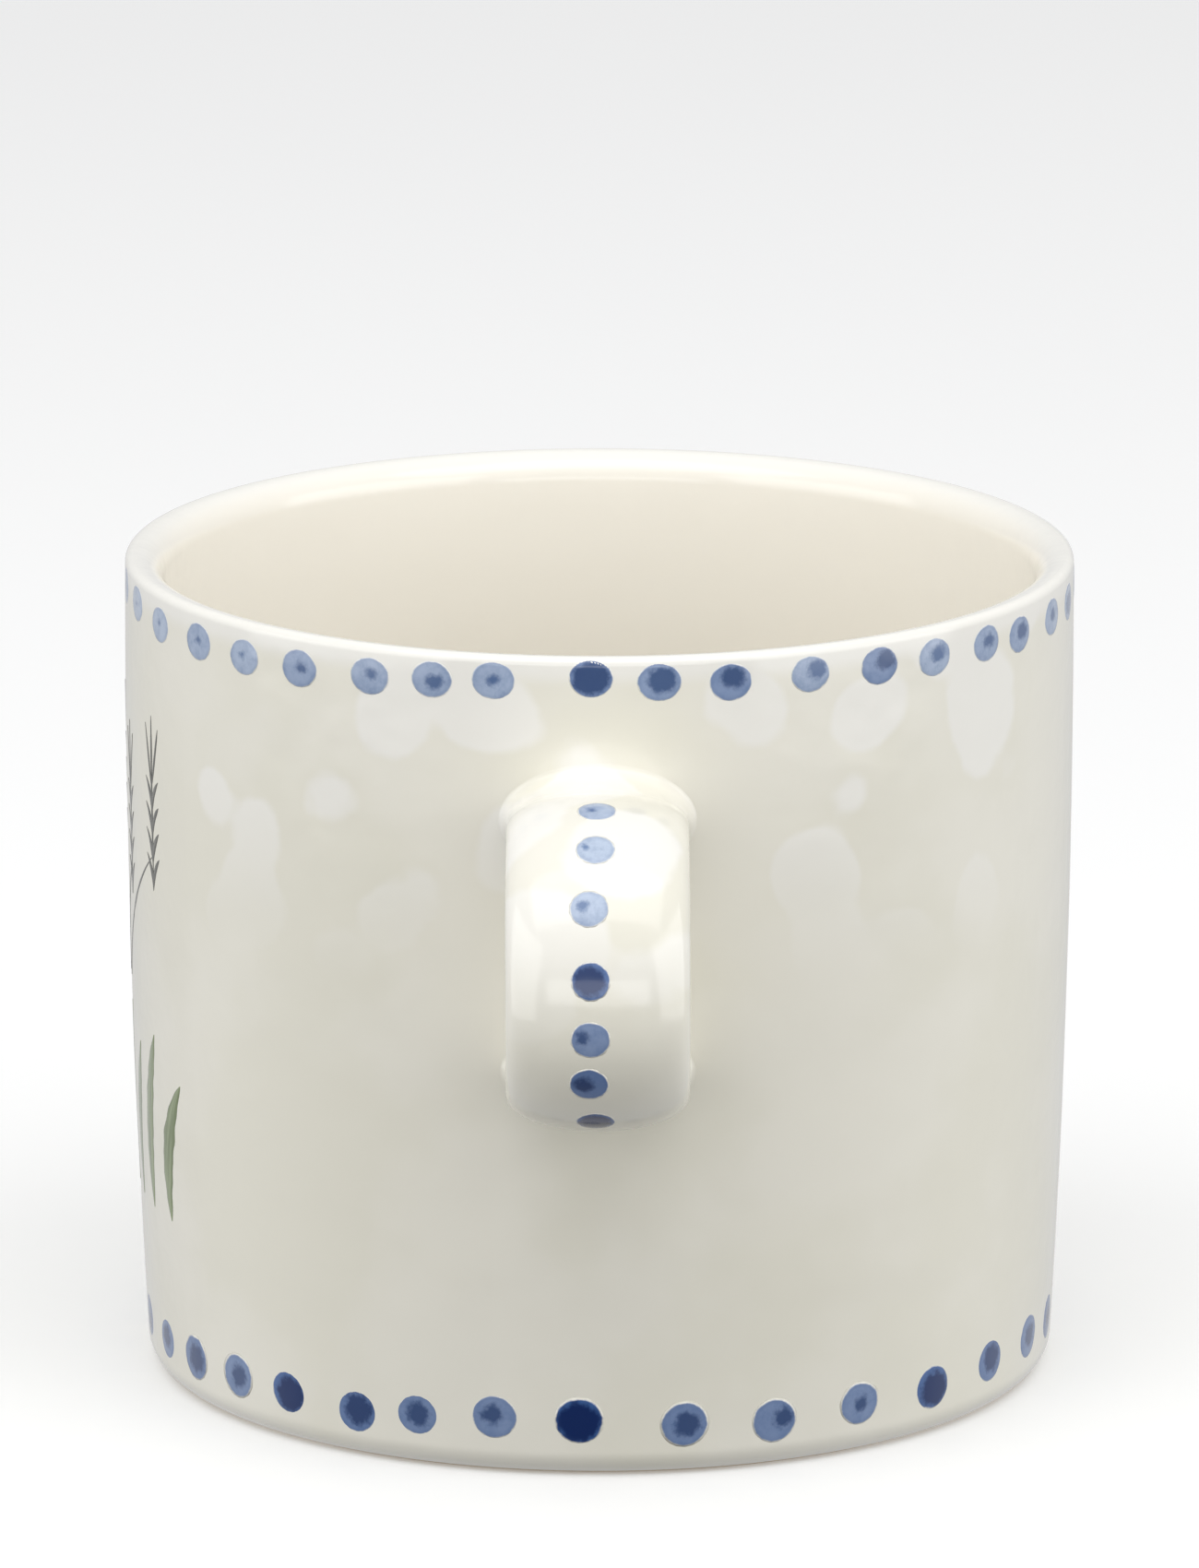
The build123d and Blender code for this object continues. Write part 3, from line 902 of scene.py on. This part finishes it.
def glaze_colour(nodes):
    """Off-white glaze: cream inside, cloudy outside, whiter at the lip, and painted reflections as soft
    whiter patches below it.
    """
    place = nodes.add("ShaderNodeTexCoord").outputs["Object"]
    parts = nodes.add("ShaderNodeSeparateXYZ")
    nodes.link(place, parts.inputs[0])
    flat = nodes.add("ShaderNodeCombineXYZ")
    nodes.link(parts.outputs[0], flat.inputs[0])
    nodes.link(parts.outputs[1], flat.inputs[1])
    length = nodes.add("ShaderNodeVectorMath", operation="LENGTH")
    nodes.link(flat.outputs[0], length.inputs[0])
    radius, height = length.outputs[1], parts.outputs[2]
    clouds = nodes.ramp(nodes.noise(46, 3, 0.5), 0.42, 0.62)
    # Painted reflection: soft whiter patches on the upper outside stand in for blurred reflections in
    # the glossy glaze.
    petals = nodes.add("ShaderNodeTexVoronoi", feature="SMOOTH_F1")
    petals.inputs["Scale"].default_value = 92.0
    petals.inputs["Smoothness"].default_value = 0.25
    nodes.link(place, petals.inputs["Vector"])
    sheen_noise = nodes.math("MULTIPLY", nodes.math("SUBTRACT", nodes.noise(38, 1, 0.5), 0.46), 2.2)
    frayed = nodes.math("MULTIPLY", nodes.noise(210, 2, 0.5), 0.22)
    spread = nodes.math("ADD", nodes.math("ADD", petals.outputs["Distance"], sheen_noise), frayed)
    sheen_patches = nodes.ramp(spread, 0.50, 0.40)
    upper = nodes.ramp(height, *SHEEN_PATCH_HEIGHTS)
    outside = nodes.mix(clouds, GLAZE_OUTSIDE, GLAZE_POOLED)
    outside = nodes.mix(nodes.math("MULTIPLY", sheen_patches, upper), outside, GLAZE_WHITER_AND_SHEEN)
    lip = nodes.ramp(height, *LIP_WHITE_BAND)
    outside = nodes.mix(lip, outside, GLAZE_WHITER_AND_SHEEN)
    inward = nodes.ramp(radius, *INSIDE_RADII)
    return nodes.mix(inward, outside, GLAZE_INSIDE)


def gloss(nodes):
    """The glassy finish that every glazed surface shares."""
    nodes.shader.inputs["Roughness"].default_value = 0.16
    nodes.shader.inputs["IOR"].default_value = 1.5
    nodes.shader.inputs["Coat Weight"].default_value = 0.35
    nodes.shader.inputs["Coat Roughness"].default_value = 0.06
    soft = nodes.noise(170, 2, 0.45)
    fine = nodes.math("MULTIPLY", nodes.noise(900, 2, 0.5), 0.12)
    nodes.bump(nodes.math("ADD", soft, fine), 0.10 * MM)


def glaze_material():
    """The glaze of the cup and the handle."""
    nodes = Nodes("off_white_glaze")
    nodes.link(glaze_colour(nodes), nodes.shader.inputs["Base Color"])
    gloss(nodes)
    return nodes.material


def clay_material(name, red, green, blue):
    """Bare fired stoneware: warm, dry, with fine dark grains and a fine tooth."""
    nodes = Nodes(name)
    grains = nodes.ramp(nodes.noise(2600, 1, 0.5), 0.66, 0.74)
    clouds = nodes.noise(120, 4, 0.6)
    warm = nodes.mix(clouds, srgb(red, green, blue), srgb(red - 22, green - 26, blue - 30))
    colour = nodes.mix(nodes.math("MULTIPLY", grains, 0.6), warm, srgb(110, 88, 66))
    nodes.link(colour, nodes.shader.inputs["Base Color"])
    nodes.shader.inputs["Roughness"].default_value = 0.85
    nodes.bump(nodes.noise(1500, 4, 0.6), 0.08 * MM, 0.6)
    return nodes.material


def dot_material():
    """Watery cobalt: a pale wash with a dark blob, a darker dried edge and fine brush streaks."""
    nodes = Nodes("cobalt_wash")
    x, y = nodes.attribute("dot_x"), nodes.attribute("dot_y")
    tone, size = nodes.attribute("tone"), nodes.attribute("core_size")
    edge_noise = nodes.math("MULTIPLY", nodes.math("SUBTRACT", nodes.noise(900, 3, 0.55), 0.5), 0.16)
    squares = nodes.math("ADD", nodes.math("POWER", x, 2.0), nodes.math("POWER", y, 2.0))
    radius = nodes.math("SQRT", squares)
    ragged = nodes.math("ADD", radius, edge_noise)
    from_x = nodes.math("SUBTRACT", x, nodes.attribute("core_x"))
    from_y = nodes.math("SUBTRACT", y, nodes.attribute("core_y"))
    from_x, from_y = nodes.math("MULTIPLY", from_x, from_x), nodes.math("MULTIPLY", from_y, from_y)
    squares = nodes.math("ADD", from_x, from_y)
    core_noise = nodes.math("MULTIPLY", nodes.math("SUBTRACT", nodes.noise(1300, 3, 0.6), 0.5), 0.6)
    core_radius = nodes.math("ADD", nodes.math("SQRT", squares), core_noise)
    core = nodes.ramp(nodes.math("SUBTRACT", core_radius, size), 0.16, -0.18)
    wash = nodes.mix(tone, srgb(192, 206, 226), srgb(62, 100, 160))
    streaks = nodes.ramp(nodes.noise(700, 4, 0.7), 0.35, 0.75)
    wash = nodes.mix(nodes.math("MULTIPLY", streaks, 0.35), wash, srgb(80, 110, 158))
    dark = nodes.mix(tone, srgb(96, 124, 168), srgb(0, 30, 88))
    paint = nodes.mix(nodes.math("MULTIPLY", core, 0.92), wash, dark)
    dried = nodes.math("MULTIPLY", nodes.ramp(ragged, 0.66, 0.86), 0.14)
    paint = nodes.mix(dried, paint, srgb(70, 96, 148))
    cover = nodes.ramp(ragged, PAINT_EDGE + 0.05, PAINT_EDGE - 0.05)
    nodes.link(nodes.mix(cover, glaze_colour(nodes), paint), nodes.shader.inputs["Base Color"])
    gloss(nodes)
    return nodes.material


def brush_material(name, pale, full, dark):
    """Brushed paint: streaks along the stroke, paler where the brush lifts, darker at the edges."""
    nodes = Nodes(name)
    along, side = nodes.attribute("along"), nodes.attribute("side")
    place = nodes.add("ShaderNodeCombineXYZ")
    nodes.link(nodes.math("MULTIPLY", side, 2.2), place.inputs[0])
    nodes.link(nodes.math("MULTIPLY", along, 1.4), place.inputs[1])
    nodes.link(nodes.attribute("seed"), place.inputs[2])
    streaks = nodes.noise(1.6, 3, 0.6, place.outputs[0])
    paint = nodes.mix(nodes.ramp(streaks, 0.35, 0.65), pale, full)
    edge = nodes.ramp(nodes.math("ABSOLUTE", side), 0.55, 0.95)
    paint = nodes.mix(nodes.math("MULTIPLY", edge, 0.6), paint, dark)
    nodes.link(paint, nodes.shader.inputs["Base Color"])
    gloss(nodes)
    return nodes.material


# ---- build ----
def dress(piece, material, slot, *replaced):
    """Gives a piece its material and its body, and hides the frame nodes that it stands for; slot is not
    used.
    """
    piece.data.materials.clear()
    piece.data.materials.append(material)
    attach(piece, "root")
    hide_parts(*replaced)


def paint_borders(cobalt):
    """The three lines of blue dots."""
    rim = ring_dots("rim_dots", RIM_DOT, RIM_FRONT, RIM_FIRST, RIM_BEHIND)
    foot = ring_dots("foot_dots", FOOT_DOT, FOOT_FRONT, FOOT_FIRST, FOOT_BEHIND)
    dress(make_dots("rim_dot_paint", rim, place_on_wall), cobalt, "cobalt_blue", "rim_dots")
    dress(make_dots("foot_dot_paint", foot, place_on_wall), cobalt, "cobalt_blue", "foot_dots")
    strap = make_dots("handle_dot_paint", strap_dots(), place_on_strap)
    dress(strap, cobalt, "cobalt_blue", "handle_dots")


def build_mug():
    """Every piece, and the material of the frame nodes that stay."""
    glaze = glaze_material()
    cobalt = dot_material()
    leaf = brush_material("leaf_green_brush", srgb(150, 164, 122), srgb(112, 128, 82), srgb(82, 98, 56))
    ink = brush_material("ink_brush", srgb(112, 112, 104), srgb(74, 74, 70), srgb(44, 44, 42))
    dress(make_glaze_coat(), glaze, "glaze_outside", "outside_glaze", "inside_glaze")
    dress(make_handle_coat(), glaze, "glaze_outside", "handle_glaze")
    dress(make_underside_coat(), glaze, "glaze_outside", "underside_glaze")
    paint_borders(cobalt)
    dress(make_strokes("leaf_paint", leaf_strokes(), LEAF_RAGGED), leaf, "leaf_green", "green_leaves")
    dress(make_strokes("ink_paint", ear_strokes(), INK_RAGGED), ink, "ink_grey", "ink_ears")
    clay = clay_material("bare_stoneware", 222, 206, 180)
    slip = clay_material("fired_slip", 214, 198, 172)
    for node, material in (
        ("clay_cup", clay),
        ("clay_handle", clay),
        ("upper_slip_joint", slip),
        ("lower_slip_joint", slip),
    ):
        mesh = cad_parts[node].data
        mesh.materials.clear()
        mesh.materials.append(material)


# ---- stage, light and camera ----
FLOOR_SIZE = 12.0
LIT_POINT = (0, 0, 0.04)
SOFTBOXES = (                   # name, place, width, height, power
    ("key_box", (0.0, -0.40, 1.0), 1.6, 0.7, 5.0),
    ("left_box", (-1.15, -0.55, 0.30), 1.4, 1.1, 7.2),
    ("right_box", (1.15, -0.55, 0.30), 1.4, 1.1, 7.8),
    ("front_box", (0.0, -1.7, 0.24), 1.8, 0.45, 4.6),
)
ABOVE, BEHIND, FRONT = 0.60, 0.64, 0.10     # brightness of the room overhead, behind and in front
AROUND = (-0.6, 0.3)            # share of the way to the back between which it brightens
RISE = (0.0, 0.55)              # and of the way up
CAMERA_PLACE = (0.0, -1.1593, 0.3442)
CAMERA_DOWN = 13.97             # degrees
LENS = 287.7


def make_floor():
    """A plain pale sheet all round the mug, left out of its bounces and reflections."""
    size = FLOOR_SIZE / 2
    corners = [(-size, -size, 0), (size, -size, 0), (size, size, 0), (-size, size, 0)]
    piece = new_piece("floor", corners, [(0, 1, 2, 3)])
    nodes = Nodes("pale_floor")
    tone = nodes.mix(nodes.noise(3, 2, 0.5), srgb(244, 244, 243), srgb(241, 241, 241))
    nodes.link(tone, nodes.shader.inputs["Base Color"])
    nodes.shader.inputs["Roughness"].default_value = 0.9
    nodes.shader.inputs["Specular IOR Level"].default_value = 0.1
    nodes.shader.inputs["Emission Color"].default_value = (1.0, 1.0, 1.0, 1.0)
    nodes.shader.inputs["Emission Strength"].default_value = 0.14
    piece.data.materials.append(nodes.material)
    piece.visible_diffuse = False
    piece.visible_glossy = False


def add_softbox(name, place, target, width, height, power):
    """A rectangular softbox aimed at a point."""
    light = bpy.data.lights.new(name, "AREA")
    light.shape = "RECTANGLE"
    light.size, light.size_y = width, height
    light.energy = power
    lamp = bpy.data.objects.new(name, light)
    lamp.location = place
    lamp.rotation_euler = (Vector(target) - Vector(place)).to_track_quat("-Z", "Y").to_euler()
    lamp.visible_camera = False
    bpy.context.scene.collection.objects.link(lamp)


def make_surround():
    """A soft white room: bright above and behind, dark where the camera stands."""
    world = bpy.data.worlds.new("surround")
    world.use_nodes = True
    tree = world.node_tree
    background = tree.nodes["Background"]
    background.inputs["Color"].default_value = (0.985, 0.99, 1.0, 1.0)
    direction = tree.nodes.new("ShaderNodeTexCoord")
    parts = tree.nodes.new("ShaderNodeSeparateXYZ")
    around = tree.nodes.new("ShaderNodeMapRange")
    rise = tree.nodes.new("ShaderNodeMapRange")
    for node, numbers in ((around, (*AROUND, FRONT, BEHIND)), (rise, (*RISE, 0.0, ABOVE))):
        node.interpolation_type = "SMOOTHSTEP"
        for name, number in zip(("From Min", "From Max", "To Min", "To Max"), numbers):
            node.inputs[name].default_value = number
    tree.links.new(direction.outputs["Generated"], parts.inputs[0])
    tree.links.new(parts.outputs[1], around.inputs["Value"])
    tree.links.new(parts.outputs[2], rise.inputs["Value"])
    tree.links.new(around.outputs[0], rise.inputs["To Min"])
    tree.links.new(rise.outputs[0], background.inputs["Strength"])
    bpy.context.scene.world = world


def light_scene():
    """A large soft key above, a softbox on each side, a low one in front, and the room."""
    for name, place, width, height, power in SOFTBOXES:
        add_softbox(name, place, LIT_POINT, width, height, power)
    make_surround()
    bpy.context.scene.view_settings.view_transform = "Standard"


def make_camera():
    """A long lens that looks straight along the handle and a little down."""
    data = bpy.data.cameras.new("camera")
    data.sensor_width = 36.0
    data.lens = LENS
    data.clip_end = 20.0
    camera = bpy.data.objects.new("camera", data)
    camera.location = CAMERA_PLACE
    camera.rotation_euler = (math.radians(90 - CAMERA_DOWN), 0, 0)
    bpy.context.scene.collection.objects.link(camera)
    bpy.context.scene.camera = camera


make_camera()
build_mug()
make_floor()
light_scene()
